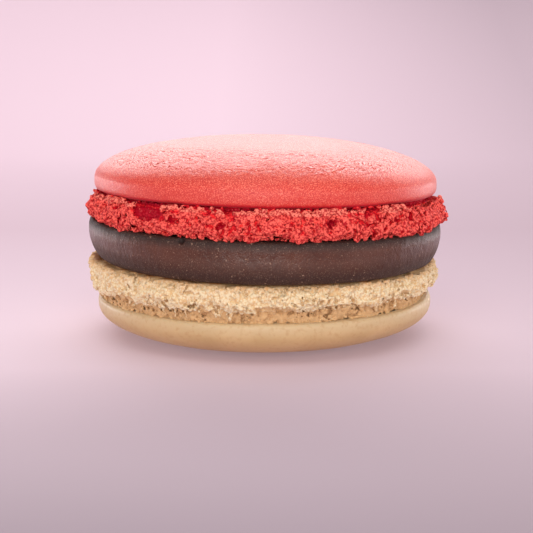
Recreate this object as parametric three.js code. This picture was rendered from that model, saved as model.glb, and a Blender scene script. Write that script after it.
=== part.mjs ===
// A filled almond meringue biscuit, in millimetres, with +Z up and its front towards -Y.
// A red shell lies on a disc of chocolate ganache, and the ganache on a beige shell turned upside down.
// Each shell has a smooth dome and, between dome and ganache, a craggy foot.
// The origin is the middle of the flat spot that the biscuit rests on.
import * as THREE from "three";

const DEGREES = Math.PI / 180;

// Points round one ring of each kind. Neighbouring rings have the same count, or one has twice the other's.
const FOOT_POINTS = 176;
const DOME_POINTS = FOOT_POINTS / 2;
const MIDDLE_POINTS = FOOT_POINTS / 4;

// The two shells. Levels are heights above a shell's flat side, towards its dome.
// A crag is how far the foot's surface swings in and out, and a fold is the same over a wider stretch.
const RED_SHELL = {
  name: "top_shell",
  colour: 0xe2504a,
  direction: 1,
  flatSide: 14.65,
  centreX: -0.1,
  foot: {
    centreX: 0.05,
    inner: 20.45,
    reach: 2.0,
    middle: 1.65,
    below: 1.65,
    above: 1.65,
    squareness: 2.7,
    fold: 0.34,
    crag: 0.42,
    seed: 11,
  },
  dome: {
    radius: 21.35,
    widest: 4.9,
    height: 5.25,
    cut: 5.25,
    fullness: 2.0,
    squareness: 2.05,
    lip: 1.35,
    lipSquareness: 4,
  },
  hollows: [
    { azimuth: -37.5, spread: 6.4, level: 2.4, tall: 0.85, depth: 1.5 },
    { azimuth: -22, spread: 9, level: 2.9, tall: 0.5, depth: 0.75 },
    { azimuth: 31, spread: 7, level: 2.85, tall: 0.45, depth: 0.6 },
    { azimuth: 118, spread: 6, level: 2.2, tall: 0.9, depth: 1.1 },
    { azimuth: 204, spread: 8, level: 2.8, tall: 0.5, depth: 0.8 },
  ],
};
// Its lip is shorter, over a wider groove. Its dome is cut flat a little below its full height, where it rests.
const BEIGE_SHELL = {
  name: "bottom_shell",
  colour: 0xd9b184,
  direction: -1,
  flatSide: 9.75,
  centreX: -0.25,
  foot: {
    centreX: -0.5,
    inner: 20.2,
    reach: 1.6,
    middle: 1.75,
    below: 1.75,
    above: 1.6,
    squareness: 2.6,
    fold: 0.22,
    crag: 0.34,
    seed: 23,
  },
  dome: {
    radius: 21.05,
    widest: 5.55,
    height: 4.3,
    cut: 4.2,
    fullness: 3.0,
    squareness: 2.2,
    lip: 1.0,
    lipSquareness: 4,
  },
  hollows: [
    { azimuth: -48, spread: 6, level: 3.0, tall: 0.5, depth: 0.7 },
    { azimuth: 3, spread: 7, level: 3.0, tall: 0.5, depth: 0.8 },
    { azimuth: 26, spread: 8, level: 3.0, tall: 0.45, depth: 0.7 },
    { azimuth: 150, spread: 7, level: 2.9, tall: 0.5, depth: 0.8 },
    { azimuth: 236, spread: 6, level: 3.0, tall: 0.5, depth: 0.7 },
  ],
};
const FOOT_ROWS = 8;
const LIP_ROWS = 3;
const DOME_ROWS = 7;
const FLAT_SIDE_RADII = [8, 15];
const NEARER = 0.02;
const CROWN_SHARE = 0.55;
const GROOVE_DEPTH = 0.9;
const DOME_UNEVENNESS = 0.09;

// How many swings each kind of relief makes round a ring, and how many along the side's profile.
const FOLDS = [26, 2];
const CRAGS = [80, 4];
const GRAINS = [FOOT_POINTS, FOOT_ROWS];
const DOME_SWELLS = [7, 3];
const GANACHE_SWELLS = [11, 3];

// In a foot, the finest relief and the relief up and down, as shares of its crags,
// and how soon the relief sets in from the foot's edges.
const GRAIN_SHARE = 0.4;
const RISE_SHARE = 0.4;
const RELIEF_ONSET = 2.6;

// The ganache bulges most just under the red shell and narrows towards the beige one.
const GANACHE = {
  name: "ganache",
  colour: 0x4a2a22,
  bottom: 9.8,
  top: 14.6,
  centreX: -0.2,
  bottomRadius: 20.5,
  topRadius: 21.35,
  widestRadius: 22.05,
  widestLevel: 3.35,
  squarenessBelow: 1.65,
  squarenessAbove: 3.0,
  unevenness: 0.12,
  seed: 37,
};
const GANACHE_ROWS = 4;

// Everything above the beige dome leans towards +X, and the beige foot takes up the wedge.
const LEAN = Math.tan(0.95 * DEGREES);
const LEAN_STARTS = 5.6;
const LEAN_FULL = 9.7;

// A seeded source of numbers from 0 to 1.
function randomSource(seed) {
  let state = seed >>> 0;
  return () => {
    state = (state + 0x6d2b79f5) >>> 0;
    let mixed = Math.imul(state ^ (state >>> 15), state | 1);
    mixed = (mixed + Math.imul(mixed ^ (mixed >>> 7), mixed | 61)) ^ mixed;
    return ((mixed ^ (mixed >>> 14)) >>> 0) / 4294967296;
  };
}

const smooth = (share) => share * share * (3 - 2 * share);
const between = (a, b, share) => a + (b - a) * share;

// Smooth noise from -1 to 1 over a band that closes on itself: columns round the ring, rows from edge to edge.
function bandNoise(seed, [columns, rows]) {
  const random = randomSource(seed);
  const knots = Array.from({ length: columns * (rows + 1) }, () => 2 * random() - 1);
  return (azimuth, share) => {
    const turn = azimuth / (2 * Math.PI);
    const across = (turn - Math.floor(turn)) * columns;
    const along = Math.min(Math.max(share, 0), 0.9999) * rows;
    const column = Math.floor(across);
    const row = Math.floor(along);
    const knot = (c, r) => knots[r * columns + (c % columns)];
    const dx = smooth(across - column);
    const dy = smooth(along - row);
    const low = between(knot(column, row), knot(column + 1, row), dx);
    const high = between(knot(column, row + 1), knot(column + 1, row + 1), dx);
    return between(low, high, dy);
  };
}

// The quarter of a superellipse, from its reach at angle 0 to its height at 90 degrees.
function superellipse(angle, reach, height, fullness, squareness = fullness) {
  return {
    radius: reach * Math.max(Math.cos(angle), 0) ** (2 / fullness),
    level: height * Math.max(Math.sin(angle), 0) ** (2 / squareness),
  };
}

// The lean of the upper layers, as a change of height.
function leanAt(x, z) {
  const share = Math.min(Math.max((z - LEAN_STARTS) / (LEAN_FULL - LEAN_STARTS), 0), 1);
  return -x * LEAN * smooth(share);
}

// A ring of points. Azimuth 0 is the front and grows towards +X; place gives each point's radius and height.
function ring(count, centreX, place) {
  return Array.from({ length: count }, (_, i) => {
    const azimuth = (2 * Math.PI * i) / count;
    const { radius, z } = place(azimuth);
    const x = centreX + radius * Math.sin(azimuth);
    return new THREE.Vector3(x, -radius * Math.cos(azimuth), z + leanAt(x, z));
  });
}

// How deep the named hollows go at a point of the foot, in millimetres.
function hollowDepth(hollows, azimuth, level) {
  let depth = 0;
  for (const hollow of hollows) {
    const turn = azimuth / DEGREES - hollow.azimuth;
    const across = (((turn + 540) % 360) - 180) / hollow.spread;
    const along = (level - hollow.level) / hollow.tall;
    depth = Math.max(depth, hollow.depth * Math.max(0, 1 - (across * across + along * along) ** 2));
  }
  return depth;
}

// The foot's rings, from the edge of the flat side to the groove under the dome's lip.
function footRings(shell) {
  const { foot } = shell;
  const folds = bandNoise(foot.seed, FOLDS);
  const crags = bandNoise(foot.seed + 1, CRAGS);
  const grains = bandNoise(foot.seed + 2, GRAINS);
  const rings = [];
  for (let row = 0; row <= FOOT_ROWS; row++) {
    const share = row / FOOT_ROWS;
    const side = 2 * share - 1;
    const angle = Math.abs(side) ** (foot.squareness / 2) * 90 * DEGREES;
    const edge = superellipse(angle, foot.reach, side < 0 ? foot.below : foot.above, foot.squareness);
    const plain = foot.middle + Math.sign(side) * edge.level;
    const freedom = Math.min(1, RELIEF_ONSET * (1 - Math.abs(side)));
    rings.push(
      ring(FOOT_POINTS, foot.centreX, (azimuth) => {
        const relief =
          foot.fold * folds(azimuth, share) +
          foot.crag * (crags(azimuth, share) + GRAIN_SHARE * grains(azimuth, share));
        const hollow = hollowDepth(shell.hollows, azimuth, plain);
        const radius = foot.inner + edge.radius + freedom * (relief - hollow);
        const level = plain + freedom ** 2 * RISE_SHARE * foot.crag * crags(azimuth + 1, share);
        return { radius, z: shell.flatSide + shell.direction * level };
      }),
    );
  }
  return rings;
}

// The dome's rings, from the lip that overhangs the groove, round the widest level and up to the top.
function domeRings(shell) {
  const { dome, foot } = shell;
  const swell = bandNoise(foot.seed + 3, DOME_SWELLS);
  const lipInner = dome.radius - GROOVE_DEPTH;
  const section = [];
  for (let row = 0; row < LIP_ROWS; row++) {
    const angle = (1 - row / LIP_ROWS) * 90 * DEGREES;
    const lip = superellipse(angle, dome.radius - lipInner, dome.lip, dome.lipSquareness);
    section.push({ radius: lipInner + lip.radius, level: dome.widest - lip.level });
  }
  const lastAngle = Math.asin((dome.cut / dome.height) ** (dome.squareness / 2));
  for (let row = 0; row <= DOME_ROWS; row++) {
    const angle = (lastAngle * row) / DOME_ROWS;
    const rise = superellipse(angle, dome.radius, dome.height, dome.fullness, dome.squareness);
    section.push({ radius: rise.radius, level: dome.widest + rise.level });
  }
  const top = section.pop();
  const rings = section.map(({ radius, level }, row) => {
    const count = radius > CROWN_SHARE * dome.radius ? DOME_POINTS : MIDDLE_POINTS;
    const share = row / section.length;
    return ring(count, shell.centreX, (azimuth) => ({
      radius: radius + DOME_UNEVENNESS * (1 - share) * swell(azimuth, share),
      z: shell.flatSide + shell.direction * level,
    }));
  });
  return { rings, top };
}

// All rings of a shell, from the middle of its flat side to the middle of its dome. A ring of one point is a pole.
function shellRings(shell) {
  const pole = (z) => [new THREE.Vector3(shell.centreX, 0, z + leanAt(shell.centreX, z))];
  const flat = FLAT_SIDE_RADII.map((radius, i) =>
    ring(i ? DOME_POINTS : MIDDLE_POINTS, shell.centreX, () => ({ radius, z: shell.flatSide })),
  );
  const { rings, top } = domeRings(shell);
  const last = shell.flatSide + shell.direction * top.level;
  if (shell.dome.cut < shell.dome.height) {
    rings.push(ring(MIDDLE_POINTS, shell.centreX, () => ({ radius: top.radius, z: last })));
  }
  return [pole(shell.flatSide), ...flat, ...footRings(shell), ...rings, pole(last)];
}

// All rings of the ganache, from the middle of its underside to the middle of its top.
function ganacheRings() {
  const { bottom, top, centreX, widestRadius, widestLevel, unevenness, seed } = GANACHE;
  const swell = bandNoise(seed, GANACHE_SWELLS);
  const pole = (z) => [new THREE.Vector3(centreX, 0, z + leanAt(centreX, z))];
  const flat = (count, radius, z) => ring(count, centreX, () => ({ radius, z }));
  const side = [];
  for (let row = -GANACHE_ROWS; row <= GANACHE_ROWS; row++) {
    const angle = (Math.abs(row) / GANACHE_ROWS) * 90 * DEGREES;
    const inner = row < 0 ? GANACHE.bottomRadius : GANACHE.topRadius;
    const half = row < 0 ? widestLevel : top - bottom - widestLevel;
    const squareness = row < 0 ? GANACHE.squarenessBelow : GANACHE.squarenessAbove;
    const edge = superellipse(angle, widestRadius - inner, half, squareness);
    const z = bottom + widestLevel + Math.sign(row) * edge.level;
    const share = (row + GANACHE_ROWS) / (2 * GANACHE_ROWS);
    side.push(
      ring(DOME_POINTS, centreX, (azimuth) => ({
        radius: inner + edge.radius + unevenness * swell(azimuth, share),
        z,
      })),
    );
  }
  return [
    pole(bottom),
    flat(MIDDLE_POINTS, FLAT_SIDE_RADII[0], bottom),
    ...side,
    flat(MIDDLE_POINTS, FLAT_SIDE_RADII[0], top),
    pole(top),
  ];
}

// The triangles between two neighbouring rings, the first one lower. Either ring may be a pole.
// A square is cut along its shorter diagonal.
function stitch(low, high, lowStart, highStart) {
  const a = (i) => lowStart + (i % low.length);
  const b = (i) => highStart + (i % high.length);
  const far = (i, k) => low[i % low.length].distanceTo(high[k % high.length]);
  const faces = [];
  const most = Math.max(low.length, high.length);
  for (let i = 0; i < most; i++) {
    if (low.length === 1) faces.push([lowStart, b(i + 1), b(i)]);
    else if (high.length === 1) faces.push([a(i), a(i + 1), highStart]);
    else if (low.length < high.length) {
      const k = Math.floor(i / 2);
      if (i % 2) faces.push([a(k), a(k + 1), b(i)], [a(k + 1), b(i + 1), b(i)]);
      else faces.push([a(k), b(i + 1), b(i)]);
    } else if (low.length > high.length) {
      const k = Math.floor(i / 2);
      if (i % 2) faces.push([a(i), b(k + 1), b(k)], [a(i), a(i + 1), b(k + 1)]);
      else faces.push([a(i), a(i + 1), b(k)]);
    } else if (far(i + 1, i) < far(i, i + 1) - NEARER) {
      faces.push([a(i), a(i + 1), b(i)], [a(i + 1), b(i + 1), b(i)]);
    } else {
      faces.push([a(i), a(i + 1), b(i + 1)], [a(i), b(i + 1), b(i)]);
    }
  }
  return faces;
}

// One closed solid through rings that are given from the lowest to the highest.
function solidThrough(rings) {
  const faces = [];
  let start = 0;
  for (let i = 0; i + 1 < rings.length; i++) {
    const next = start + rings[i].length;
    faces.push(...stitch(rings[i], rings[i + 1], start, next));
    start = next;
  }
  const geometry = new THREE.BufferGeometry().setFromPoints(rings.flat());
  geometry.setIndex(faces.flat());
  geometry.computeVertexNormals();
  return geometry;
}

function piece(name, rings, colour, roughness) {
  const material = new THREE.MeshStandardMaterial({ color: colour, roughness, metalness: 0 });
  const mesh = new THREE.Mesh(solidThrough(rings), material);
  mesh.name = name;
  return mesh;
}

const biscuit = new THREE.Group();
biscuit.add(
  piece(BEIGE_SHELL.name, shellRings(BEIGE_SHELL).reverse(), BEIGE_SHELL.colour, 0.75),
  piece(GANACHE.name, ganacheRings(), GANACHE.colour, 0.45),
  piece(RED_SHELL.name, shellRings(RED_SHELL), RED_SHELL.colour, 0.75),
);

export default biscuit;
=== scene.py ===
"""The looks of a filled almond meringue biscuit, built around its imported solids.

All shapes are worked out in millimetres in the solids' own frame: +Z up, front towards -Y, azimuth 0 at the
front and growing towards +X. They turn into metres when they become meshes.
"""

import itertools
import math

import bpy
import numpy as np
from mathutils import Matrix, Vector


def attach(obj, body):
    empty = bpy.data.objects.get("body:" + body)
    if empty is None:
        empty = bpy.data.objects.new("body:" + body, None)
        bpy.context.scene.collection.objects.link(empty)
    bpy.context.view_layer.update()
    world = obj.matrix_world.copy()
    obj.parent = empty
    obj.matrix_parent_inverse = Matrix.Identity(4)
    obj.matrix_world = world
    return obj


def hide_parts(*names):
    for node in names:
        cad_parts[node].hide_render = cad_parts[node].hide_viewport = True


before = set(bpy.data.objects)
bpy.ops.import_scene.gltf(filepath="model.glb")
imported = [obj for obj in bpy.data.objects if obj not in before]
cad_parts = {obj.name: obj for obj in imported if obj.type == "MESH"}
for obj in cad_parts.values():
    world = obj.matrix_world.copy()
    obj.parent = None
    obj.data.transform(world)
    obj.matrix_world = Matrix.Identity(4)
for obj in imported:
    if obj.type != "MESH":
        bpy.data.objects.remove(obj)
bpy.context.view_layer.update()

MM = 0.001
TURN = 2 * math.pi

# About the radius of the biscuit's side, which turns a length along it into an azimuth.
SIDE_RADIUS = 22.0

# The camera: it looks along +Y and down on the biscuit from a short distance.
CAMERA_DISTANCE = 150.0
CAMERA_ELEVATION = 10.0
CAMERA_TARGET_Z = 8.1
CAMERA_LENS = 79.3
SENSOR_WIDTH = 36.0

# The two shells, with their solids' sizes and seeds. Levels are heights above a shell's flat side.
RED_SHELL = {
    "direction": 1,
    "flat_side": 14.65,
    "centre_x": -0.1,
    "foot": {
        "centre_x": 0.05,
        "inner": 20.45,
        "reach": 2.0,
        "middle": 1.65,
        "below": 1.65,
        "above": 1.65,
        "squareness": 2.7,
        "fold": 0.34,
        "crag": 0.42,
        "seed": 11,
    },
    "dome": {
        "radius": 21.35,
        "widest": 4.9,
        "height": 5.25,
        "fullness": 2.0,
        "squareness": 2.05,
        "lip": 1.35,
        "lip_squareness": 4,
    },
    "hollows": [
        {"azimuth": -37.5, "spread": 6.4, "level": 2.4, "tall": 0.85, "depth": 1.5},
        {"azimuth": -22, "spread": 9, "level": 2.9, "tall": 0.5, "depth": 0.75},
        {"azimuth": 31, "spread": 7, "level": 2.85, "tall": 0.45, "depth": 0.6},
        {"azimuth": 118, "spread": 6, "level": 2.2, "tall": 0.9, "depth": 1.1},
        {"azimuth": 204, "spread": 8, "level": 2.8, "tall": 0.5, "depth": 0.8},
    ],
}
BEIGE_SHELL = {
    "direction": -1,
    "flat_side": 9.75,
    "centre_x": -0.25,
    "foot": {
        "centre_x": -0.5,
        "inner": 20.2,
        "reach": 1.6,
        "middle": 1.75,
        "below": 1.75,
        "above": 1.6,
        "squareness": 2.6,
        "fold": 0.22,
        "crag": 0.34,
        "seed": 23,
    },
    "dome": {
        "radius": 21.05,
        "widest": 5.55,
        "height": 4.3,
        "fullness": 3.0,
        "squareness": 2.2,
        "lip": 1.0,
        "lip_squareness": 4,
    },
    "hollows": [
        {"azimuth": -48, "spread": 6, "level": 3.0, "tall": 0.5, "depth": 0.7},
        {"azimuth": 3, "spread": 7, "level": 3.0, "tall": 0.5, "depth": 0.8},
        {"azimuth": 26, "spread": 8, "level": 3.0, "tall": 0.45, "depth": 0.7},
        {"azimuth": 150, "spread": 7, "level": 2.9, "tall": 0.5, "depth": 0.8},
        {"azimuth": 236, "spread": 6, "level": 3.0, "tall": 0.5, "depth": 0.7},
    ],
}

# The beige dome is cut flat at this level, where the biscuit rests. The red dome isn't cut.
DOME_CUT_LEVEL = 9.75
NO_CUT = 99.0

# How far the groove between a dome and its foot reaches in from the dome's radius.
GROOVE_DEPTH = 0.9

# How many folds and crags go round a foot and up its side, and how fast both set in from its edges.
FOLDS = (26, 2)
CRAGS = (80, 4)
RELIEF_ONSET = 2.6

# The upper layers' lean towards +X, which the beige foot takes up.
LEAN = math.tan(math.radians(0.95))
LEAN_STARTS = 5.6
LEAN_FULL = 9.7

GANACHE = {
    "bottom": 9.8,
    "top": 14.6,
    "centre_x": -0.2,
    "bottom_radius": 20.5,
    "top_radius": 21.35,
    "widest_radius": 22.05,
    "widest_level": 3.35,
    "squareness_below": 1.65,
    "squareness_above": 3.0,
}
GANACHE_COLUMNS = 840
GANACHE_SIDE_ROWS = 30
GANACHE_FLAT_RADIUS = 12.0
GANACHE_SLUMP = 0.9

# Pits in the ganache: azimuth in radians, level, radius and depth. The small ones lie at random.
BURST_BUBBLE = (math.radians(-24.9), 4.55, 0.5, 0.5)
SMALL_PITS = 7
SMALL_PIT_DEPTH = 0.14

# The ganache's pale specks: their size, the noise that they start and are full at, and their strength.
GANACHE_SPECKS = [(0.3, 0.7, 0.78, 0.6), (0.12, 0.58, 0.75, 0.3)]

# The domes: how their rings crowd towards the lip, and the red skin's wrinkles and grain.
RED_DOME_RINGS = 140
BEIGE_DOME_RINGS = 90
RING_CROWDING = 0.8
WRINKLE_INNER = 10.5
WRINKLE_OUTER = 20.4
WRINKLE_MIDDLE = 16
WRINKLE_HEIGHT = 0.048
WRINKLE_LENGTH = 0.65
WRINKLE_SPACING = 0.36
DOME_GRAIN = 0.012

# The slow swings of the domes: the height and length of each in millimetres, and its seed.
RED_DOME_SWINGS = [(0.07, 9.0, 5), (0.03, 3.5, 6)]
BEIGE_DOME_SWINGS = [(0.05, 8.0, 25), (0.02, 2.5, 26), (0.006, 0.4, 27)]

# The grid that a foot's crumb is worked out on, and the radius that the crumb starts at.
CELL = 0.16
CRUMB_INNER_RADIUS = 19.5
CRUMB_OUTER_MARGIN = 1.1
PADDING = 12
STAMP_REACH = 1.3

# Where the crumb hangs down over the filling, and how it is bent and broken up at the edge of its skin.
DROOP_STARTS = 20.9
WARP_HEIGHT = 0.22
WARP_LENGTH = 1.1
SKIN_EDGE = 0.35
SKIN_UNEVENNESS = 0.25
ROUGHNESS_LENGTH = 0.4

# The crumb in the gap under a lip: its wall's unevenness and beads, and where the painted shade of its depth
# begins to show.
WALL_UNEVENNESS = 0.35
WALL_BEADS_START = 1.2
WALL_BEAD_SIZE = (0.1, 0.22)
GAP_SHADE_STARTS = 0.45
GAP_SHADE_BLEND = 0.4

# An opening starts this far outside the radius that its foot is built round.
OPENING_FACE = 1.9

# The shreds in the gap, each a row of balls: how they turn, drift inwards, reach across it, swell and wobble.
SHRED_BALLS = 7
SHRED_TURN = (-0.02, 0.02)
SHRED_DRIFT = (-0.6, -0.1)
SHRED_REACH = (0.3, 1.15)
SHRED_THINNEST = 0.1
SHRED_THICKER = 0.14
SHRED_WOBBLE = (0.004, 0.06, 0.03)

# The widths of the beads and of the grain that the crumb's material adds.
CRUMB_BEAD_WIDTH = 0.28
CRUMB_GRAIN_WIDTH = 0.34

# How a foot's crumb differs from its solid, in millimetres. It lies inside the solid by shrink, by inset too
# above the level of its skin, and by more where it is worn. It hangs down by droop and rises by lift.
# Layers of noise, each with a size, height and flatness, make its lumps. Beads are put on it, and pores and
# holes are taken out, except in hollows deeper than smooth_hollow. The gap under the lip ends at a wall.
RED_CRUMB = {
    "seed": 101,
    "skin": -2.0,
    "roughness": 0.11,
    "shrink": 0.18,
    "inset": 0.14,
    "droop": 0.12,
    "lift": 0.55,
    "layers": [(1.8, 0.26, 0.55), (0.85, 0.26, 0.7), (0.38, 0.14, 1.0)],
    "gap": {"radius": 21.2, "level": 3.75, "size": 0.36, "unevenness": 0.36, "wall": 20.2},
    "beads": {"number": 10500, "size": (0.1, 0.29), "rise": (-0.1, 0.24)},
    "pores": {"number": 3400, "size": (0.09, 0.2), "rise": (-0.2, 0.08)},
    "holes": {"number": 90, "size": (0.25, 0.5), "rise": (-0.3, 0.15)},
    "smooth_hollow": 0.8,
    "openings": [{"azimuth": -37.5, "spread": 5.0, "level": 3.1, "tall": 0.6, "depth": 1.5}],
    "worn": [
        {"azimuth": 92.0, "spread": 48.0, "level": 4.2, "tall": 3.4, "depth": 1.1},
        {"azimuth": -92.0, "spread": 40.0, "level": 4.2, "tall": 2.8, "depth": 0.6},
    ],
    "wall_beads": 1400,
    "wall_rise": 0.45,
    "shreds": 25,
}
BEIGE_CRUMB = {
    "seed": 202,
    "skin": 0.2,
    "roughness": 0.08,
    "shrink": 0.14,
    "inset": 0.1,
    "droop": 0.0,
    "lift": 0.0,
    "layers": [(1.7, 0.22, 0.6), (0.8, 0.22, 0.8), (0.36, 0.13, 1.0)],
    "gap": {"radius": 21.05, "level": 3.95, "size": 0.6, "unevenness": 0.34, "wall": 20.1},
    "beads": {"number": 8600, "size": (0.11, 0.26), "rise": (-0.12, 0.13)},
    "pores": {"number": 2200, "size": (0.09, 0.18), "rise": (-0.1, 0.12)},
    "holes": {"number": 40, "size": (0.22, 0.38), "rise": (-0.3, 0.15)},
    "smooth_hollow": 9.0,
    "openings": [],
    "worn": [],
    "wall_beads": 4200,
    "wall_rise": 0.32,
    "shreds": 60,
}

# The floor, which bends up into a backdrop, what the lights aim at, and the tints of lights and room.
FLOOR = {
    "front": -700.0,
    "bend_starts": 260.0,
    "bend_radius": 420.0,
    "bend_steps": 24,
    "top": 700.0,
    "half_width": 900.0,
}
LIT_POINT = (0, 0, 12)
WHITE = (255, 252, 252)
WARM_WHITE = (255, 250, 246)
ROOM_TINT = (250, 232, 238)
ROOM_STRENGTH = 0.22


def smooth(share):
    share = np.clip(share, 0, 1)
    return share * share * (3 - 2 * share)


def random_source(seed):
    """The seeded source of numbers from 0 to 1 that the solids use."""
    state = seed & 0xFFFFFFFF
    while True:
        state = (state + 0x6D2B79F5) & 0xFFFFFFFF
        mixed = ((state ^ (state >> 15)) * (state | 1)) & 0xFFFFFFFF
        mixed = ((mixed + (((mixed ^ (mixed >> 7)) * (mixed | 61)) & 0xFFFFFFFF)) & 0xFFFFFFFF) ^ mixed
        yield (mixed ^ (mixed >> 14)) / 4294967296


def band_noise(seed, columns, rows):
    """Smooth noise from -1 to 1 on a band that closes on itself, as the solids have it."""
    numbers = itertools.islice(random_source(seed), columns * (rows + 1))
    knots = 2 * np.array(list(numbers)).reshape(rows + 1, columns) - 1

    def at(azimuth, share):
        across = (azimuth / TURN) % 1 * columns
        along = np.clip(share, 0, 0.9999) * rows
        column, row = np.floor(across).astype(int) % columns, np.floor(along).astype(int)
        dx, dy = smooth(across - np.floor(across)), smooth(along - row)
        beside = (column + 1) % columns
        low = knots[row, column] * (1 - dx) + knots[row, beside] * dx
        high = knots[row + 1, column] * (1 - dx) + knots[row + 1, beside] * dx
        return low * (1 - dy) + high * dy

    return at


def noise(points, size, seed):
    """Smooth noise from -1 to 1 at points in millimetres, with swings of about the given size."""
    period = 32
    table = np.random.default_rng(seed).uniform(-1, 1, (period,) * 3)
    places = points / size
    cell = np.floor(places).astype(int)
    share = smooth(places - cell)
    total = 0
    for corner in itertools.product((0, 1), repeat=3):
        weight = np.prod(np.where(corner, share, 1 - share), axis=-1)
        i, j, k = np.moveaxis((cell + corner) % period, -1, 0)
        total = total + weight * table[i, j, k]
    return total


def unevenness(points, swings):
    """The sum of several noises, each given by its height and length in millimetres and its seed."""
    return sum(height * noise(points, length, seed) for height, length, seed in swings)


def leaned(x, y, z):
    """Points in millimetres after the upper layers' lean."""
    share = smooth((z - LEAN_STARTS) / (LEAN_FULL - LEAN_STARTS))
    return np.stack([x, y, z - x * LEAN * share], -1)


def placed(shell, centre_x, azimuth, radius, level):
    """Points of a shell from their azimuth, radius and level above its flat side."""
    z = shell["flat_side"] + shell["direction"] * level
    x = centre_x + radius * np.sin(azimuth)
    return leaned(x, -radius * np.cos(azimuth), z * np.ones_like(x))


def make_object(name, points, faces, attributes=None):
    """A mesh object from points in millimetres and faces, with each attribute's values for the points."""
    mesh = bpy.data.meshes.new(name)
    mesh.from_pydata((points * MM).tolist(), [], faces)
    for key, values in (attributes or {}).items():
        mesh.attributes.new(key, "FLOAT", "POINT").data.foreach_set("value", values.astype(np.float32))
    mesh.shade_smooth()
    made = bpy.data.objects.new(name, mesh)
    bpy.context.scene.collection.objects.link(made)
    return made


# The smooth domes


def concentric_grid(rings):
    """Ring numbers and azimuths of a square grid bent into a disc, with 8 more points on each ring."""
    steps = np.arange(-rings, rings + 1)
    u, v = np.meshgrid(steps, steps, indexing="ij")
    ring = np.maximum(np.abs(u), np.abs(v))
    safe = np.maximum(ring, 1)
    sideways = np.abs(u) > np.abs(v)
    azimuth = np.where(sideways, np.where(u > 0, 0, 4) + u * v / safe**2, 2 - u * v / safe**2)
    azimuth = np.where(~sideways & (v < 0), azimuth + 4, azimuth)
    return ring, azimuth * TURN / 8


def grid_quads(rows, columns):
    start = (np.arange(rows - 1)[:, None] * columns + np.arange(columns - 1)).ravel()
    return np.stack([start, start + columns, start + columns + 1, start + 1], -1)


def rim_of_grid(size):
    """The vertex numbers round a square grid, in order."""
    last = size - 1
    first = [(0, k) for k in range(last)] + [(k, last) for k in range(last)]
    second = [(last, k) for k in range(last, 0, -1)] + [(k, 0) for k in range(last, 0, -1)]
    return [i * size + k for i, k in first + second]


def dome_profile(dome, cut, steps=2000):
    """Radius and level along a dome's outline from its middle to the inner edge of its lip, by length."""
    angle = np.linspace(math.pi / 2, 0, steps)
    radius = dome["radius"] * np.cos(angle).clip(0) ** (2 / dome["fullness"])
    level = dome["widest"] + dome["height"] * np.sin(angle).clip(0) ** (2 / dome["squareness"])
    turn = np.linspace(0, math.pi / 2, steps // 4)[1:]
    power = 2 / dome["lip_squareness"]
    lip_radius = dome["radius"] - GROOVE_DEPTH * (1 - np.cos(turn).clip(0) ** power)
    lip_level = dome["widest"] - dome["lip"] * np.sin(turn) ** power
    radius = np.concatenate([radius, lip_radius])
    level = np.concatenate([level, lip_level]).clip(None, cut)
    length = np.concatenate([[0], np.cumsum(np.hypot(np.diff(radius), np.diff(level)))])
    return length, radius, level


def dome_points(shell, rings, cut, relief):
    """Points of a dome on a concentric grid, moved outwards by relief(azimuth, radius, level, points)."""
    length, radii, levels = dome_profile(shell["dome"], cut)
    ring, azimuth = concentric_grid(rings)
    along = (ring / rings) ** RING_CROWDING * length[-1]
    radius, level = np.interp(along, length, radii), np.interp(along, length, levels)
    slope_r = np.interp(along, length, np.gradient(radii, length))
    slope_l = np.interp(along, length, np.gradient(levels, length))
    points = placed(shell, shell["centre_x"], azimuth, radius, level)
    rise = relief(azimuth, radius, level, points)
    steepness = np.hypot(slope_r, slope_l)
    radius = radius - rise * slope_l / steepness
    level = (level + rise * slope_r / steepness).clip(None, cut)
    return placed(shell, shell["centre_x"], azimuth, radius, level), radius, level


def make_dome(name, shell, rings, cut, relief):
    points, radius, level = dome_points(shell, rings, cut, relief)
    size = 2 * rings + 1
    faces = grid_quads(size, size)
    if shell["direction"] > 0:
        faces = faces[:, ::-1]
    rim = rim_of_grid(size)
    faces = faces.tolist() + [rim if shell["direction"] > 0 else rim[::-1]]
    attributes = {"radius": radius.ravel(), "level": level.ravel()}
    return make_object(name, points.reshape(-1, 3), faces, attributes)


def red_dome_relief(azimuth, radius, level, points):
    """Slow unevenness, and the fine wrinkles of the skin that run round the dome's shoulder."""
    slow = unevenness(points, RED_DOME_SWINGS)
    across = radius + 0.9 * noise(points, 3.6, 7) + 0.35 * noise(points, 1.3, 8)
    round_length = WRINKLE_MIDDLE / WRINKLE_LENGTH
    rows = across / WRINKLE_SPACING
    stretched = np.stack([np.cos(azimuth) * round_length, np.sin(azimuth) * round_length, rows], -1)
    wrinkle = 1 - 2 * np.abs(noise(stretched, 1.0, 9)) - 0.8 * np.abs(noise(stretched * 1.9, 1.0, 10))
    zone = smooth((radius - WRINKLE_INNER) / 4) * smooth((WRINKLE_OUTER - radius) / 2)
    patches = smooth(0.65 + 0.8 * noise(points, 4.0, 12))
    grain = DOME_GRAIN * noise(points, 0.34, 14) * (1 + zone)
    return slow + WRINKLE_HEIGHT * zone * patches * wrinkle + grain


def beige_dome_relief(azimuth, radius, level, points):
    """Slow unevenness and a faint grain."""
    return unevenness(points, BEIGE_DOME_SWINGS)


# The craggy feet


def hollow_depth(hollows, azimuth, level):
    depth = np.zeros(np.broadcast(azimuth, level).shape)
    for hollow in hollows:
        turn = np.degrees(azimuth) - hollow["azimuth"]
        across = ((turn + 540) % 360 - 180) / hollow["spread"]
        along = (level - hollow["level"]) / hollow["tall"]
        depth = np.maximum(depth, hollow["depth"] * (1 - (across**2 + along**2) ** 2).clip(0))
    return depth


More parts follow.
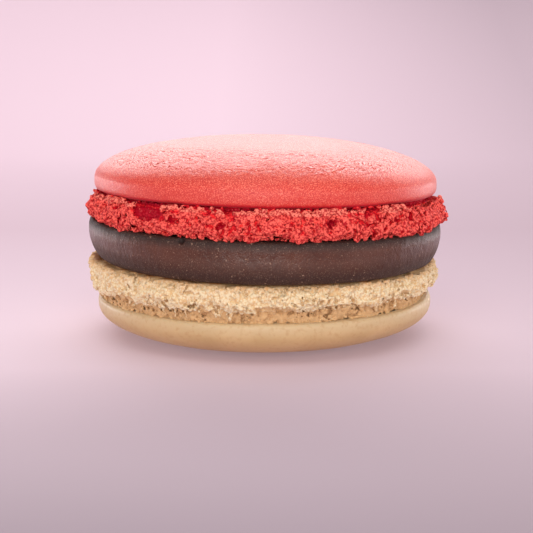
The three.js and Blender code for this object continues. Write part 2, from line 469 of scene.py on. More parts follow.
def foot_distance(shell, azimuth, radius, level):
    """How far outside the foot points are, in millimetres: without its hollows, and with them."""
    foot = shell["foot"]
    power = foot["squareness"]
    out = radius - foot["inner"]
    up = level - foot["middle"]
    half = np.where(up < 0, foot["below"], foot["above"])
    out_share = np.abs(out) / foot["reach"]
    up_share = np.abs(up) / half
    size = (out_share**power + up_share**power) ** (1 / power)
    plain = np.hypot(out, up) * (1 - 1 / size.clip(1e-3))
    angle = np.arctan2(up_share ** (power / 2), out_share ** (power / 2))
    side = np.sign(up) * (angle / (math.pi / 2)) ** (2 / power)
    share = (side + 1) / 2
    folds = foot["fold"] * band_noise(foot["seed"], *FOLDS)(azimuth, share)
    relief = folds + foot["crag"] * band_noise(foot["seed"] + 1, *CRAGS)(azimuth, share)
    freedom = (RELIEF_ONSET * (1 - np.abs(side))).clip(0, 1)
    hollow = hollow_depth(shell["hollows"], azimuth, level)
    return plain - freedom * relief, plain - freedom * (relief - hollow)


def stamp(field, axes, centre, radius, add):
    """Adds a ball to a field that is padded along its azimuths, or takes it out."""
    azimuths, radii, levels = axes
    reach = radius * STAMP_REACH
    i0, i1 = np.searchsorted(azimuths, [centre[0] - reach / centre[1], centre[0] + reach / centre[1]])
    j0, j1 = np.searchsorted(radii, [centre[1] - reach, centre[1] + reach])
    k0, k1 = np.searchsorted(levels, [centre[2] - reach, centre[2] + reach])
    block = field[i0:i1, j0:j1, k0:k1]
    if not block.size:
        return
    across = (azimuths[i0:i1, None, None] - centre[0]) * centre[1]
    out = radii[None, j0:j1, None] - centre[1]
    up = levels[None, None, k0:k1] - centre[2]
    distance = np.sqrt(across**2 + out**2 + up**2) - radius
    if add:
        np.minimum(block, distance, out=block)
    else:
        np.maximum(block, -distance, out=block)


def along(axis, part):
    """An index that takes a part of one axis of three, and the whole of the others."""
    return tuple(part if a == axis else slice(None) for a in range(3))


def crossings(whole):
    """For each axis: the edges of a grid that a surface crosses, how far along, and which start inside."""
    found = []
    for axis in range(3):
        near = whole[along(axis, slice(None, -1))]
        far = whole[along(axis, slice(1, None))]
        crossed = (near < 0) != (far < 0)
        share = np.where(crossed, near / np.where(crossed, near - far, 1), 0)
        found.append((crossed, share, near < 0))
    return found


def net_places(found, cells):
    """The mean of the crossings round each cell that has some, and the number of each cell's place."""
    total = np.zeros(cells + (3,), np.float32)
    count = np.zeros(cells, np.int8)
    for axis, (crossed, share, _) in enumerate(found):
        others = [a for a in range(3) if a != axis]
        for shift in itertools.product((0, 1), repeat=2):
            window = [slice(None)] * 3
            for a, s in zip(others, shift):
                window[a] = slice(s, s + cells[a])
            here = crossed[tuple(window)]
            total[..., axis] += share[tuple(window)]
            for a, s in zip(others, shift):
                total[..., a] += here * s
            count += here
    used = count > 0
    number = np.full(cells, -1)
    number[used] = np.arange(used.sum())
    return np.stack(np.nonzero(used), -1) + total[used] / count[used, None], number


def net_quads(axis, crossed, inside, number):
    """A quad for each crossed edge along an axis, which joins the places of the four cells round it."""
    round_count = number.shape[0]
    crossed = crossed[:round_count].copy()
    a, b = [other for other in range(3) if other != axis]
    for other in (a, b):
        if other > 0:
            crossed[along(other, 0)] = False
            crossed[along(other, -1)] = False
    at = np.stack(np.nonzero(crossed), -1)
    corners = []
    for da, db in ((1, 1), (0, 1), (0, 0), (1, 0)):
        cell = at.copy()
        cell[:, a] -= da
        cell[:, b] -= db
        cell[:, 0] %= round_count
        corners.append(number[tuple(cell.T)])
    square = np.stack(corners, -1)
    outward = inside[:round_count][tuple(at.T)]
    flip = outward if axis == 1 else ~outward
    square[flip] = square[flip][:, ::-1]
    return square


def surface_net(field):
    """Grid places and quads of the surface where a field is 0. The first axis closes on itself."""
    found = crossings(np.concatenate([field, field[:1]], 0))
    places, number = net_places(found, (field.shape[0], field.shape[1] - 1, field.shape[2] - 1))
    quads = [net_quads(axis, crossed, inside, number) for axis, (crossed, _, inside) in enumerate(found)]
    return places, np.concatenate(quads)


def largest_piece(places, quads):
    """The largest piece of a surface, so that no bead floats free."""
    label = np.arange(len(places))
    settled = False
    while not settled:
        lowest = label.copy()
        np.minimum.at(lowest, quads.ravel(), np.repeat(label[quads].min(axis=1), 4))
        lowest = lowest[lowest]
        settled = np.array_equal(lowest, label)
        label = lowest
    kept = label == np.bincount(label).argmax()
    number = np.cumsum(kept) - 1
    return places[kept], number[quads[kept[quads[:, 0]]]]


def lip_level(shell):
    """The level where a foot meets its dome."""
    return shell["dome"]["widest"] - shell["dome"]["lip"]


def crumb_axes(shell):
    foot = shell["foot"]
    outer = foot["inner"] + foot["reach"] + CRUMB_OUTER_MARGIN
    count = round(TURN * (foot["inner"] + foot["reach"]) / CELL)
    azimuths = np.arange(count) * TURN / count
    radii = np.arange(CRUMB_INNER_RADIUS - 2 * CELL, outer, CELL)
    levels = np.arange(-5 * CELL, lip_level(shell) + 3 * CELL, CELL)
    return azimuths, radii, levels


def warped_foot(shell, crumb, points, azimuth, radius, level):
    """The foot's distance with its form bent by noise, and with the crumb's own openings taken out."""
    warp = WARP_HEIGHT * noise(points, WARP_LENGTH, crumb["seed"] + 8)
    turned = azimuth + warp / SIDE_RADIUS
    raised = level + droop(crumb, points, radius, level) - lift(crumb, points, level)
    _, field = foot_distance(shell, turned, radius, raised + warp)
    opening = hollow_depth(crumb["openings"], turned, level + warp)
    carved = np.maximum(field, radius - shell["foot"]["inner"] - OPENING_FACE + opening)
    return np.where(opening > 0, carved, field)


def gap_wall(shell, crumb, points, radius, level):
    """How far points are outside the wall of crumb behind the gap."""
    out = radius - crumb["gap"]["wall"] - WALL_UNEVENNESS * noise(points, 1.5, crumb["seed"] + 9)
    return np.maximum(out, np.maximum(-level, level - lip_level(shell) - 1))


def beyond_foot(shell, radius, level):
    """How far points are past the foot's own room, which ends at its dome and, further in, at its filling."""
    floor = np.where(radius < DROOP_STARTS + 0.3, -level, -1)
    ends = np.maximum(floor, level - lip_level(shell) - 0.1)
    return np.maximum(ends, CRUMB_INNER_RADIUS - radius)


def crumb_field(shell, crumb):
    """The foot as a field on a grid of azimuths, radii and levels: below 0 inside, in millimetres."""
    axes = crumb_axes(shell)
    azimuth, radius, level = np.meshgrid(*axes, indexing="ij")
    points = placed(shell, shell["foot"]["centre_x"], azimuth, radius, level)
    above_skin = level - crumb["skin"] - SKIN_UNEVENNESS * noise(points, 1.3, crumb["seed"])
    free = smooth(above_skin / SKIN_EDGE)
    field = warped_foot(shell, crumb, points, azimuth, radius, level)
    field = field + crumb["inset"] * free + worn_away(crumb, azimuth, level)
    field = np.maximum(field, -gap_distance(crumb, points, radius, level))
    field = np.minimum(field, gap_wall(shell, crumb, points, radius, level))
    for n, (size, height, flatness) in enumerate(crumb["layers"]):
        field -= height * free * noise(points / (1, 1, flatness), size, crumb["seed"] + 1 + n)
    field = stamp_crumb(field, axes, shell, crumb)
    field -= crumb["roughness"] * free * noise(points, ROUGHNESS_LENGTH, crumb["seed"] + 20)
    return np.maximum(field, beyond_foot(shell, radius, level))


def worn_away(crumb, azimuth, level):
    """How far the crumb lies inside its solid's surface, in millimetres."""
    return crumb["shrink"] + hollow_depth(crumb["worn"], azimuth, level)


def droop(crumb, points, radius, level):
    """How far the crumb hangs down past its shell's flat side, over the filling, in millimetres."""
    share = smooth((radius - DROOP_STARTS) / 0.7) * smooth(2 - level)
    return crumb["droop"] * share * (0.7 + 0.6 * noise(points * (1, 1, 0), 1.7, crumb["seed"] + 7))


def lift(crumb, points, level):
    """How far the crumb rises towards its dome's lip, in millimetres."""
    share = smooth((level - 1.6) / 1.4)
    return crumb["lift"] * share * (0.5 + 0.7 * noise(points * (1, 1, 0), 2.1, crumb["seed"] + 12))


def gap_distance(crumb, points, radius, level):
    """How far points are from the uneven gap that runs round between a foot and its dome's lip."""
    gap = crumb["gap"]
    swing = noise(points, 2.2, crumb["seed"] + 5) + 0.6 * noise(points, 0.7, crumb["seed"] + 6)
    size = gap["size"] + gap["unevenness"] * swing
    return np.hypot(radius - gap["radius"], level - gap["level"]) - size


def gap_depth(shell, radius, level):
    """How far points between a foot and its dome lie behind the lip's edge, in millimetres, for the painted
    shade in the gap.
    """
    foot_top = shell["foot"]["middle"] + shell["foot"]["above"]
    share = smooth((level - foot_top + GAP_SHADE_STARTS) / GAP_SHADE_BLEND)
    return share * (shell["dome"]["radius"] - radius)


def surface_spots(shell, random, number):
    """Random places on a foot's surface: azimuth, radius, level and the direction outwards."""
    foot = shell["foot"]
    azimuth = random.uniform(0, TURN, number)
    angle = random.uniform(-1, 1, number)
    bend = np.sign(angle) * np.abs(angle) ** (foot["squareness"] / 2) * math.pi / 2
    out = np.cos(bend) ** (2 / foot["squareness"])
    up = np.sign(bend) * np.abs(np.sin(bend)) ** (2 / foot["squareness"])
    half = np.where(up < 0, foot["below"], foot["above"])
    radius = foot["inner"] + foot["reach"] * out
    level = foot["middle"] + half * up
    _, distance = foot_distance(shell, azimuth, radius, level)
    normal = np.stack([out / foot["reach"], up / half], -1)
    normal /= np.linalg.norm(normal, axis=-1, keepdims=True)
    return azimuth, radius - distance * normal[:, 0], level - distance * normal[:, 1], normal


def surface_balls(shell, crumb, balls, random):
    """The places and radii of the balls that are put on a foot's surface or taken out of it."""
    number = balls["number"]
    smallest, largest = balls["size"]
    azimuth, radius, level, normal = surface_spots(shell, random, number)
    points = placed(shell, shell["foot"]["centre_x"], azimuth, radius, level)
    size = smallest + (largest - smallest) * random.uniform(0, 1, number) ** 1.6
    rise = random.uniform(*balls["rise"], number)
    hollow = hollow_depth(shell["hollows"] + crumb["openings"], azimuth, level)
    in_gap = gap_distance(crumb, points, radius, level) < 0.1
    used = (level > crumb["skin"]) & (hollow < crumb["smooth_hollow"]) & ~in_gap
    worn = worn_away(crumb, azimuth, level)
    hang = droop(crumb, points, radius, level) - lift(crumb, points, level)
    level = level - hang - worn * normal[:, 1]
    radius = radius - worn * normal[:, 0]
    spots = np.stack([azimuth, radius + rise * normal[:, 0], level + rise * normal[:, 1]], -1)
    return spots[used], size[used]


def wall_balls(shell, crumb, random):
    """The places and radii of the beads on the wall of crumb behind the gap."""
    number = crumb["wall_beads"]
    azimuth = random.uniform(0, TURN, number)
    out = crumb["wall_rise"] * random.uniform(0, 1, number) ** 1.5
    lowest = shell["foot"]["middle"] + WALL_BEADS_START
    level = random.uniform(lowest, lip_level(shell) + 0.1, number)
    spots = np.stack([azimuth, crumb["gap"]["wall"] + out, level], -1)
    return spots, random.uniform(*WALL_BEAD_SIZE, number)


def stamp_crumb(field, axes, shell, crumb):
    """Adds beads to the foot's surface, takes pores and holes out of it, and adds the crumb in the gap."""
    random = np.random.default_rng(crumb["seed"])
    azimuths, radii, levels = axes
    padded = np.concatenate([field[-PADDING:], field, field[:PADDING]], 0)
    padded_axes = (np.arange(-PADDING, len(azimuths) + PADDING) * azimuths[1], radii, levels)
    for kind, add in (("beads", True), ("pores", False), ("holes", False)):
        spots, sizes = surface_balls(shell, crumb, crumb[kind], random)
        stamp_all(padded, padded_axes, spots, sizes, add)
    spots, sizes = wall_balls(shell, crumb, random)
    stamp_all(padded, padded_axes, spots, sizes, True)
    stamp_shreds(padded, padded_axes, shell, crumb, random)
    return padded[PADDING:-PADDING]


def stamp_all(field, axes, spots, sizes, add):
    """Stamps balls at spots given as azimuth, radius and level, also in the field's padding."""
    for spot, size in zip(spots, sizes):
        for turn in (-TURN, 0, TURN):
            if axes[0][0] < spot[0] + turn < axes[0][-1]:
                stamp(field, axes, (spot[0] + turn, spot[1], spot[2]), size, add)


def stamp_shreds(field, axes, shell, crumb, random):
    """Adds thin ragged shreds of crumb that bridge the gap between a foot and its dome's lip."""
    gap = crumb["gap"]
    for _ in range(crumb["shreds"]):
        azimuth = random.uniform(0, TURN)
        level = gap["level"] - gap["size"]
        start = np.array([azimuth, gap["radius"] - 0.1, level])
        turn, inwards = random.uniform(*SHRED_TURN), random.uniform(*SHRED_DRIFT)
        drift = np.array([turn, inwards, lip_level(shell) - level])
        size = SHRED_THINNEST + SHRED_THICKER * random.uniform(0, 1) ** 3
        reach = random.uniform(*SHRED_REACH)
        for step in np.linspace(0, reach, SHRED_BALLS):
            wobble = random.uniform(-1, 1, 3) * SHRED_WOBBLE
            stamp(field, axes, start + drift * step + wobble, size * (1.15 - 0.5 * step), True)


def make_foot(name, shell, crumb):
    axes = crumb_axes(shell)
    field = crumb_field(shell, crumb)
    places, quads = largest_piece(*surface_net(field))
    azimuth = places[:, 0] * axes[0][1]
    radius = axes[1][0] + places[:, 1] * CELL
    level = axes[2][0] + places[:, 2] * CELL
    filled, _ = foot_distance(shell, azimuth, radius, level)
    # The depth sets the crumb's painted shade, in its pits and in the gap under the lip.
    depth = np.maximum(-filled - worn_away(crumb, azimuth, level), gap_depth(shell, radius, level))
    if shell["direction"] < 0:
        quads = quads[:, ::-1]
    points = placed(shell, shell["foot"]["centre_x"], azimuth, radius, level)
    attributes = {"depth": depth, "level": level, "radius": radius}
    return make_object(name, points, quads.tolist(), attributes)


# The ganache


def ganache_profile():
    """Radius and level along the ganache's side, from its lower edge to its upper one."""
    height = GANACHE["top"] - GANACHE["bottom"]
    rows = []
    for row in range(-GANACHE_SIDE_ROWS, GANACHE_SIDE_ROWS + 1):
        below = row < 0
        inner = GANACHE["bottom_radius"] if below else GANACHE["top_radius"]
        half = GANACHE["widest_level"] if below else height - GANACHE["widest_level"]
        power = GANACHE["squareness_below"] if below else GANACHE["squareness_above"]
        angle = (abs(row) / GANACHE_SIDE_ROWS) ** (power / 2) * math.pi / 2
        radius = inner + (GANACHE["widest_radius"] - inner) * max(math.cos(angle), 0) ** (2 / power)
        level = GANACHE["widest_level"] + math.copysign(half * math.sin(angle) ** (2 / power), row)
        rows.append((radius, level))
    return rows


def ganache_form():
    """Azimuths, radii and levels of the ganache's points, with the slump of its lower front."""
    height = GANACHE["top"] - GANACHE["bottom"]
    rows = np.array([(GANACHE_FLAT_RADIUS, 0.0), *ganache_profile(), (GANACHE_FLAT_RADIUS, height)])
    azimuth = np.arange(GANACHE_COLUMNS) * TURN / GANACHE_COLUMNS
    azimuth, radius = np.meshgrid(azimuth, rows[:, 0])
    level = np.broadcast_to(rows[:, 1:], azimuth.shape)
    low = smooth(1 - level / GANACHE["widest_level"]) * (radius > GANACHE["bottom_radius"] - 1)
    return azimuth, radius + GANACHE_SLUMP * low * np.cos(azimuth).clip(0) ** 2, level


def ganache_relief(azimuth, radius, level):
    """How far the ganache's side swells or sinks, and the depth of its pits."""
    places = np.stack([np.sin(azimuth) * radius, -np.cos(azimuth) * radius, level], -1)
    ripple = 0.1 * noise(places, 6.0, 41) + 0.035 * noise(places * (1, 1, 0.6), 1.6, 42)
    ripple += 0.012 * noise(places, 0.5, 43)
    pits = ganache_pits(places)
    ripple -= pits
    ripple[[0, -1]] = 0
    return ripple, pits


def ring_faces(rows, columns):
    """Quads between closed rows of points, and a flat face at each end."""
    start = np.arange(rows - 1)[:, None] * columns
    here, beside = np.arange(columns), (np.arange(columns) + 1) % columns
    quads = np.stack([start + here, start + beside, start + columns + beside, start + columns + here], -1)
    first = list(range(columns))[::-1]
    last = list(range((rows - 1) * columns, rows * columns))
    return quads.reshape(-1, 4).tolist() + [first, last]


def make_ganache():
    azimuth, radius, level = ganache_form()
    ripple, pits = ganache_relief(azimuth, radius, level)
    radius = radius + ripple
    x = GANACHE["centre_x"] + radius * np.sin(azimuth)
    points = leaned(x, -radius * np.cos(azimuth), GANACHE["bottom"] + level)
    attributes = {"level": level.ravel(), "pit": pits.ravel()}
    return make_object("ganache_filling", points.reshape(-1, 3), ring_faces(*azimuth.shape), attributes)


def ganache_pits(places):
    """The burst bubble near the ganache's upper edge, and a few smaller ones round its side."""
    random = np.random.default_rng(47)
    depth = np.zeros(places.shape[:-1])
    spots = [BURST_BUBBLE]
    for _ in range(SMALL_PITS):
        azimuth, level = random.uniform(0.8, 5.2), random.uniform(1.0, 3.8)
        spots.append((azimuth, level, random.uniform(0.2, 0.3), SMALL_PIT_DEPTH))
    for azimuth, level, size, deep in spots:
        centre = (SIDE_RADIUS * math.sin(azimuth), -SIDE_RADIUS * math.cos(azimuth), level)
        away = np.linalg.norm(places - centre, axis=-1) / size
        depth = np.maximum(depth, deep * (1 - away**2).clip(0))
    return depth


# Materials


def colour(red, green, blue):
    """A colour given as it looks on a screen, from 0 to 255."""
    values = [c / 255 for c in (red, green, blue)]
    return [c / 12.92 if c <= 0.04045 else ((c + 0.055) / 1.055) ** 2.4 for c in values] + [1]


# Colours of the paper that the biscuit stands on, with painted shade towards the front, the back and the
# right, and how much light it gives off as a painted glow.
PAPER_FRONT_SHADE = colour(130, 119, 127)
PAPER_MIDDLE = colour(208, 190, 200)
PAPER_BACK_SHADE = colour(190, 169, 179)
PAPER_RIGHT_SHADE = colour(150, 135, 143)
PAPER_GLOW = 0.28


class Shader:
    """A material's nodes, with a short call for each kind that the biscuit needs."""

    def __init__(self, name):
        self.material = bpy.data.materials.new(name)
        self.material.use_nodes = True
        self.nodes = self.material.node_tree.nodes
        self.links = self.material.node_tree.links
        self.surface = self.nodes["Principled BSDF"]
        self.place = self.nodes.new("ShaderNodeNewGeometry").outputs["Position"]

    def feed(self, node, name, value):
        """Links a socket to an input, or sets the input to a plain value."""
        socket = node.inputs[name]
        if isinstance(value, bpy.types.NodeSocket):
            self.links.new(value, socket)
        else:
            socket.default_value = value

    def set(self, **values):
        for name, value in values.items():
            self.feed(self.surface, name.replace("_", " "), value)

    def add(self, kind, **inputs):
        node = self.nodes.new("ShaderNode" + kind)
        for name, value in inputs.items():
            self.feed(node, name.replace("_", " "), value)
        return node

    def vector(self, operation, first, second=None):
        """A vector from one or two others, or from one and the number that it is scaled by."""
        node = self.add("VectorMath")
        node.operation = operation
        self.feed(node, 0, first)
        if second is not None:
            self.feed(node, "Scale" if operation == "SCALE" else 1, second)
        return node.outputs[0]

    def noise_at(self, place, detail):
        return self.add("TexNoise", Scale=1, Detail=detail, Vector=place).outputs["Fac"]

    def noise(self, size, detail=2.0, stretch=(1, 1, 1)):
        """Noise from 0 to 1 with swings of about the given size in millimetres."""
        scaled = self.vector("MULTIPLY", self.place, [s / (size * MM) for s in stretch])
        return self.noise_at(scaled, detail)

    def ring_noise(self, radius, length, spacing, detail):
        """Noise from 0 to 1 in strokes that run round the dome, with length and spacing in millimetres."""
        outwards = self.vector("NORMALIZE", self.vector("MULTIPLY", self.place, (1, 1, 0)))
        ring = self.vector("SCALE", outwards, WRINKLE_OUTER / length)
        row = self.add("CombineXYZ", Z=self.maths("DIVIDE", radius, spacing))
        return self.noise_at(self.vector("ADD", ring, row.outputs[0]), detail)

    def cells(self, size):
        """Distance from the middle of round cells of about the given size, from 0 to about 1."""
        place = self.vector("SCALE", self.place, 1 / (size * MM))
        return self.add("TexVoronoi", Scale=1, Vector=place).outputs["Distance"]

    def attribute(self, name):
        node = self.add("Attribute")
        node.attribute_name = name
        return node.outputs["Fac"]

    def span(self, value, low, high, to_low=0.0, to_high=1.0):
        """A value mapped from one range to another, and kept inside it."""
        node = self.add("MapRange", Value=value, From_Min=low, From_Max=high, To_Min=to_low, To_Max=to_high)
        return node.outputs["Result"]

    def maths(self, operation, first, second):
        node = self.add("Math")
        node.operation = operation
        self.feed(node, 0, first)
        self.feed(node, 1, second)
        return node.outputs[0]

    def times(self, first, second):
        return self.maths("MULTIPLY", first, second)

    def mix(self, share, first, second):
        """A blend of two colours."""
        node = self.add("Mix")
        node.data_type = "RGBA"
        self.feed(node, 0, share)
        self.feed(node, 6, first)
        self.feed(node, 7, second)
        return node.outputs[2]

    def bump(self, height, distance, strength=1.0, normal=None):
        """A normal bent by a height from 0 to 1 that stands for the given distance in millimetres."""
        node = self.add("Bump", Strength=strength, Distance=distance * MM, Height=height)
        if normal:
            self.links.new(normal, node.inputs["Normal"])
        return node.outputs["Normal"]


def red_dome_material():
    """Matte red skin with a fine grain, crinkled round its shoulder, with painted shade that deepens its
    lower side and turns it dark crimson under its lip.
    """
    shader = Shader("red_meringue_skin")
    level, radius = shader.attribute("level"), shader.attribute("radius")
    tone = shader.mix(shader.span(shader.noise(4.0), 0.35, 0.65), colour(220, 66, 52), colour(228, 80, 63))
    speckle = shader.noise(0.12, 1)
    tone = shader.mix(shader.span(speckle, 0.52, 0.68), tone, colour(255, 146, 122))
    tone = shader.mix(shader.span(speckle, 0.48, 0.32), tone, colour(196, 42, 42))
    # Painted shade: the skin turns a deeper red towards its lower side.
    lower_side_shade = shader.span(level, 7.0, 4.6, 0.0, 0.5)
    tone = shader.mix(lower_side_shade, tone, colour(208, 50, 46))
    # Painted shade: dark crimson under the lip, where it is shadowed.
    shade_under_lip = shader.span(level, 4.0, 3.7)
    tone = shader.mix(shade_under_lip, tone, colour(196, 20, 44))
    shoulder = shader.times(shader.span(radius, 12.0, 16.5), shader.span(radius, 20.2, 19.0))
    bent = shader.maths("ADD", radius, shader.span(shader.noise(2.2, 3), 0.0, 1.0, 0.0, 2.4))
    strokes = shader.span(shader.ring_noise(bent, 1.1, 0.2, 1), 0.42, 0.66)
    normal = shader.bump(shader.noise(0.13, 1), 0.05)
    normal = shader.bump(shader.times(strokes, shoulder), 0.045, normal=normal)
    shader.set(Base_Color=tone, Roughness=0.42, Specular_IOR_Level=0.48, Normal=normal)
    shader.set(Subsurface_Weight=0.15, Subsurface_Scale=0.6 * MM, Subsurface_Radius=(1.0, 0.35, 0.25))
    shader.set(Sheen_Weight=0.1, Sheen_Roughness=0.4, Sheen_Tint=colour(255, 240, 234))
    return shader.material


def crumb_material(name, highlight_tone, body, pit, deepest_shade, skin, ledge_shadow, skin_radius, filling_shade, glow, relief):
    """Porous crumb: toned by its depth, with painted highlights on its pale tips and painted shade in its
    dark pits, and skin where it meets the filling, with painted shade there and a painted shadow on its flat
    ledge.
    """
    shader = Shader(name)
    depth, level, radius = (shader.attribute(key) for key in ("depth", "level", "radius"))
    # Painted light and shade by depth: painted highlights on the high points, and painted shade that deepens
    # into the pits and the gap under the lip.
    tone = shader.mix(shader.span(depth, -0.12, 0.12), highlight_tone, body)
    tone = shader.mix(shader.span(depth, 0.12, 0.4), tone, pit)
    tone = shader.mix(shader.span(depth, 0.4, 0.9), tone, deepest_shade)
    # Painted shade in dark pits between the beads and painted highlights on their tips, where the bump sinks
    # and raises them.
    beads = shader.cells(CRUMB_BEAD_WIDTH)
    grain = shader.noise(CRUMB_GRAIN_WIDTH, 3)
    pits = shader.times(shader.span(beads, 0.34, 0.6), shader.span(grain, 0.66, 0.46))
    tone = shader.mix(shader.times(pits, 0.9), tone, pit)
    tip_highlights = shader.times(shader.span(beads, 0.3, 0.05), shader.span(grain, 0.45, 0.6))
    tone = shader.mix(shader.times(tip_highlights, 0.7), tone, highlight_tone)
    # Painted shade near the filling: the lowest levels blend towards the skin colour.
    lowest = shader.span(level, 1.0, 0.2, 0.0, filling_shade)
    tone = shader.mix(lowest, tone, skin)
    # Painted shadow on the flat ledge under the filling: the skin colour darkens inwards.
    shadowed_ledge = shader.mix(shader.span(radius, 22.0, 21.1), skin, ledge_shadow)
    flat = shader.span(level, 0.3, 0.08)
    within = shader.span(radius, skin_radius, skin_radius - 0.5)
    tone = shader.mix(shader.times(flat, within), tone, shadowed_ledge)
    normal = shader.bump(grain, 0.12, relief)
    normal = shader.bump(shader.maths("SUBTRACT", 1.0, beads), 0.1, relief, normal)
    shader.set(Base_Color=tone, Roughness=0.75, Specular_IOR_Level=0.08, Normal=normal)
    shader.set(Subsurface_Weight=glow, Subsurface_Scale=0.3 * MM, Subsurface_Radius=(1.0, 0.92, 0.85))
    return shader.material


def beige_dome_material():
    """Satin beige skin with brown speckles, with painted light that makes it paler near its lip, and more
    orange towards the underside.
    """
    shader = Shader("beige_meringue_skin")
    level = shader.attribute("level")
    clouds = shader.span(shader.noise(5.0), 0.35, 0.65)
    tone = shader.mix(clouds, colour(190, 157, 110), colour(202, 169, 122))
    # Painted light: paler towards the lip, on the upper side of the dome.
    painted_light_near_lip = shader.span(level, 6.4, 4.6)
    tone = shader.mix(painted_light_near_lip, tone, colour(204, 180, 140))
    speckle = shader.span(shader.noise(0.5, 2), 0.52, 0.72)
    tone = shader.mix(shader.times(speckle, 0.5), tone, colour(184, 142, 96))
    underside = shader.span(level, 6.4, 9.4)
    tone = shader.mix(shader.times(underside, 0.4), tone, colour(208, 157, 105))
    normal = shader.bump(shader.noise(0.3, 2), 0.02)
    shader.set(Base_Color=tone, Roughness=0.5, Normal=normal)
    shader.set(Subsurface_Weight=0.3, Subsurface_Scale=0.5 * MM, Subsurface_Radius=(1.0, 0.7, 0.5))
    return shader.material


def ganache_material():
    """Set chocolate with fine pale specks: duller where the upper shell hangs over it, with painted shadow
    there, and painted shade on its lower part and in its pits.
    """
    shader = Shader("ganache_chocolate")
    level = shader.attribute("level")
    tone = shader.mix(shader.span(shader.noise(3.0), 0.35, 0.65), colour(74, 36, 24), colour(86, 45, 31))
    # Painted shade: darker towards the lower edge.
    lower_shade = shader.span(level, 2.4, 0.8)
    tone = shader.mix(lower_shade, tone, colour(54, 27, 18))
    # Painted shadow where the upper shell hangs over: darker in this band, which is also made rougher below.
    overhang_shade_and_dulling = shader.span(level, 3.5, 4.4)
    tone = shader.mix(overhang_shade_and_dulling, tone, colour(44, 23, 17))
    for size, low, high, strength in GANACHE_SPECKS:
        specks = shader.span(shader.noise(size, 1), low, high)
        tone = shader.mix(shader.times(specks, strength), tone, colour(168, 134, 112))
    # Painted shade: dark inside the pits.
    pit_shade = shader.span(shader.attribute("pit"), 0.03, 0.3)
    tone = shader.mix(pit_shade, tone, colour(34, 16, 12))
    streaks = shader.noise(0.6, 3, (1, 1, 0.5))
    normal = shader.bump(shader.noise(0.2, 2), 0.05)
    normal = shader.bump(streaks, 0.1, normal=normal)
    lowest = shader.span(level, 2.8, 1.6)
    dull = shader.times(shader.maths("MAXIMUM", overhang_shade_and_dulling, lowest), 0.35)
    roughness = shader.maths("ADD", dull, shader.span(streaks, 0.3, 0.7, 0.27, 0.4))
    shader.set(Base_Color=tone, Roughness=roughness, Specular_IOR_Level=0.42, Normal=normal)
    shader.set(Subsurface_Weight=0.1, Subsurface_Scale=0.5 * MM, Subsurface_Radius=(1.0, 0.5, 0.35))
    return shader.material


# The stage, the lights and the camera


def make_stage():
    """A pale floor that bends up into a backdrop far behind."""
    section = [(FLOOR["front"], 0.0), (FLOOR["bend_starts"], 0.0)]
    for step in range(1, FLOOR["bend_steps"] + 1):
        angle = step / FLOOR["bend_steps"] * math.pi / 2
        out, up = FLOOR["bend_radius"] * math.sin(angle), FLOOR["bend_radius"] * (1 - math.cos(angle))
        section.append((FLOOR["bend_starts"] + out, up))
    section.append((FLOOR["bend_starts"] + FLOOR["bend_radius"], FLOOR["top"]))
    points = np.array([(side * FLOOR["half_width"], y, z) for y, z in section for side in (-1, 1)])
    faces = [[2 * i, 2 * i + 1, 2 * i + 3, 2 * i + 2] for i in range(len(section) - 1)]
    floor = make_object("floor", points, faces)
    floor.data.materials.append(paper_material())


def paper_material():
    """Pale pink paper with painted shade towards the front, the back and the right, and a painted glow that
    lifts its shadows.
    """
    shader = Shader("pale_pink_paper")
    apart = shader.add("SeparateXYZ", Vector=shader.place).outputs
    # Painted shade: darker towards the front, the back and the right.
    tone = shader.mix(shader.span(apart["Y"], -80 * MM, -20 * MM), PAPER_FRONT_SHADE, PAPER_MIDDLE)
    tone = shader.mix(shader.span(apart["Y"], 0.0, 90 * MM), tone, PAPER_BACK_SHADE)
    tone = shader.mix(shader.span(apart["X"], -20 * MM, 120 * MM, 0.0, 0.8), tone, PAPER_RIGHT_SHADE)
    shader.set(Base_Color=tone, Roughness=0.9, Specular_IOR_Level=0.0)
    # A painted glow: the paper gives off light that lifts the shadows on it.
    shader.set(Emission_Color=tone, Emission_Strength=PAPER_GLOW)
    return shader.material


def aim(thing, place, target):
    thing.location = Vector(place) * MM
    direction = Vector(target) - Vector(place)
    thing.rotation_euler = direction.to_track_quat("-Z", "Y").to_euler()


def make_light(name, place, size, watts, tint):
    """A soft light aimed at the biscuit's middle. Its place and size are in millimetres."""
    light = bpy.data.lights.new(name, "AREA")
    light.shape = "RECTANGLE"
    light.size, light.size_y = size[0] * MM, size[1] * MM
    light.energy = watts
    light.color = colour(*tint)[:3]
    made = bpy.data.objects.new(name, light)
    bpy.context.scene.collection.objects.link(made)
    aim(made, place, LIT_POINT)


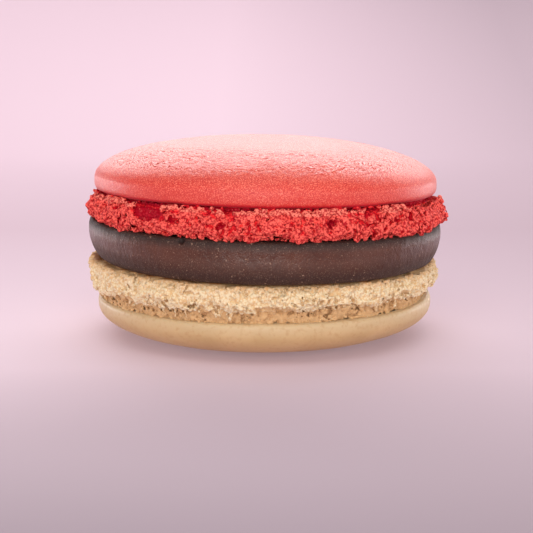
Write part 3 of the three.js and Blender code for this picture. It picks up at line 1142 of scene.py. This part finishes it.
def light_scene():
    make_light("back_light", (60, 480, 290), (1000, 200), 3.5, WHITE)
    make_light("top_light", (0, 340, 265), (420, 200), 0.36, WHITE)
    make_light("overhead_light", (0, 0, 420), (180, 180), 0.2, WHITE)
    make_light("high_front_light", (-20, -200, 220), (240, 160), 0.28, WARM_WHITE)
    make_light("front_light", (-20, -270, 60), (240, 110), 0.38, WARM_WHITE)
    make_light("left_front_light", (-230, -150, 60), (200, 110), 0.07, WARM_WHITE)
    make_light("right_front_light", (230, -150, 60), (200, 110), 0.17, WARM_WHITE)
    make_light("left_light", (-200, 110, 18), (130, 34), 0.14, WHITE)
    make_light("right_light", (200, 110, 18), (130, 34), 0.14, WHITE)
    world = bpy.data.worlds.new("studio")
    world.use_nodes = True
    background = world.node_tree.nodes["Background"]
    background.inputs["Color"].default_value = colour(*ROOM_TINT)
    background.inputs["Strength"].default_value = ROOM_STRENGTH
    bpy.context.scene.world = world
    bpy.context.scene.view_settings.view_transform = "Standard"


def make_camera():
    camera = bpy.data.cameras.new("camera")
    camera.lens = CAMERA_LENS
    camera.sensor_width = SENSOR_WIDTH
    camera.clip_start = 0.01
    made = bpy.data.objects.new("camera", camera)
    bpy.context.scene.collection.objects.link(made)
    tilt = math.radians(CAMERA_ELEVATION)
    back = CAMERA_DISTANCE * math.cos(tilt)
    up = CAMERA_TARGET_Z + CAMERA_DISTANCE * math.sin(tilt)
    aim(made, (0, -back, up), (0, 0, CAMERA_TARGET_Z))
    bpy.context.scene.camera = made


def finish_piece(piece, material, node):
    piece.data.materials.append(material)
    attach(piece, "root")
    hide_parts(node)


red_crumb_material = crumb_material(
    "red_meringue_crumb",
    highlight_tone=colour(255, 136, 118),
    body=colour(254, 50, 54),
    pit=colour(166, 0, 28),
    deepest_shade=colour(194, 38, 56),
    skin=colour(206, 34, 46),
    ledge_shadow=colour(160, 10, 30),
    skin_radius=21.0,
    filling_shade=0.0,
    glow=0.0,
    relief=0.9,
)
beige_crumb_material = crumb_material(
    "beige_meringue_crumb",
    highlight_tone=colour(238, 225, 194),
    body=colour(227, 207, 168),
    pit=colour(216, 178, 130),
    deepest_shade=colour(180, 140, 100),
    skin=colour(208, 156, 104),
    ledge_shadow=colour(150, 94, 52),
    skin_radius=22.4,
    filling_shade=0.6,
    glow=0.2,
    relief=0.3,
)

make_camera()
red_dome = make_dome("red_dome", RED_SHELL, RED_DOME_RINGS, NO_CUT, red_dome_relief)
finish_piece(red_dome, red_dome_material(), "top_shell")
red_foot = make_foot("red_foot", RED_SHELL, RED_CRUMB)
finish_piece(red_foot, red_crumb_material, "top_shell")
finish_piece(make_ganache(), ganache_material(), "ganache")
beige_foot = make_foot("beige_foot", BEIGE_SHELL, BEIGE_CRUMB)
finish_piece(beige_foot, beige_crumb_material, "bottom_shell")
beige_dome = make_dome("beige_dome", BEIGE_SHELL, BEIGE_DOME_RINGS, DOME_CUT_LEVEL, beige_dome_relief)
finish_piece(beige_dome, beige_dome_material(), "bottom_shell")

make_stage()
light_scene()
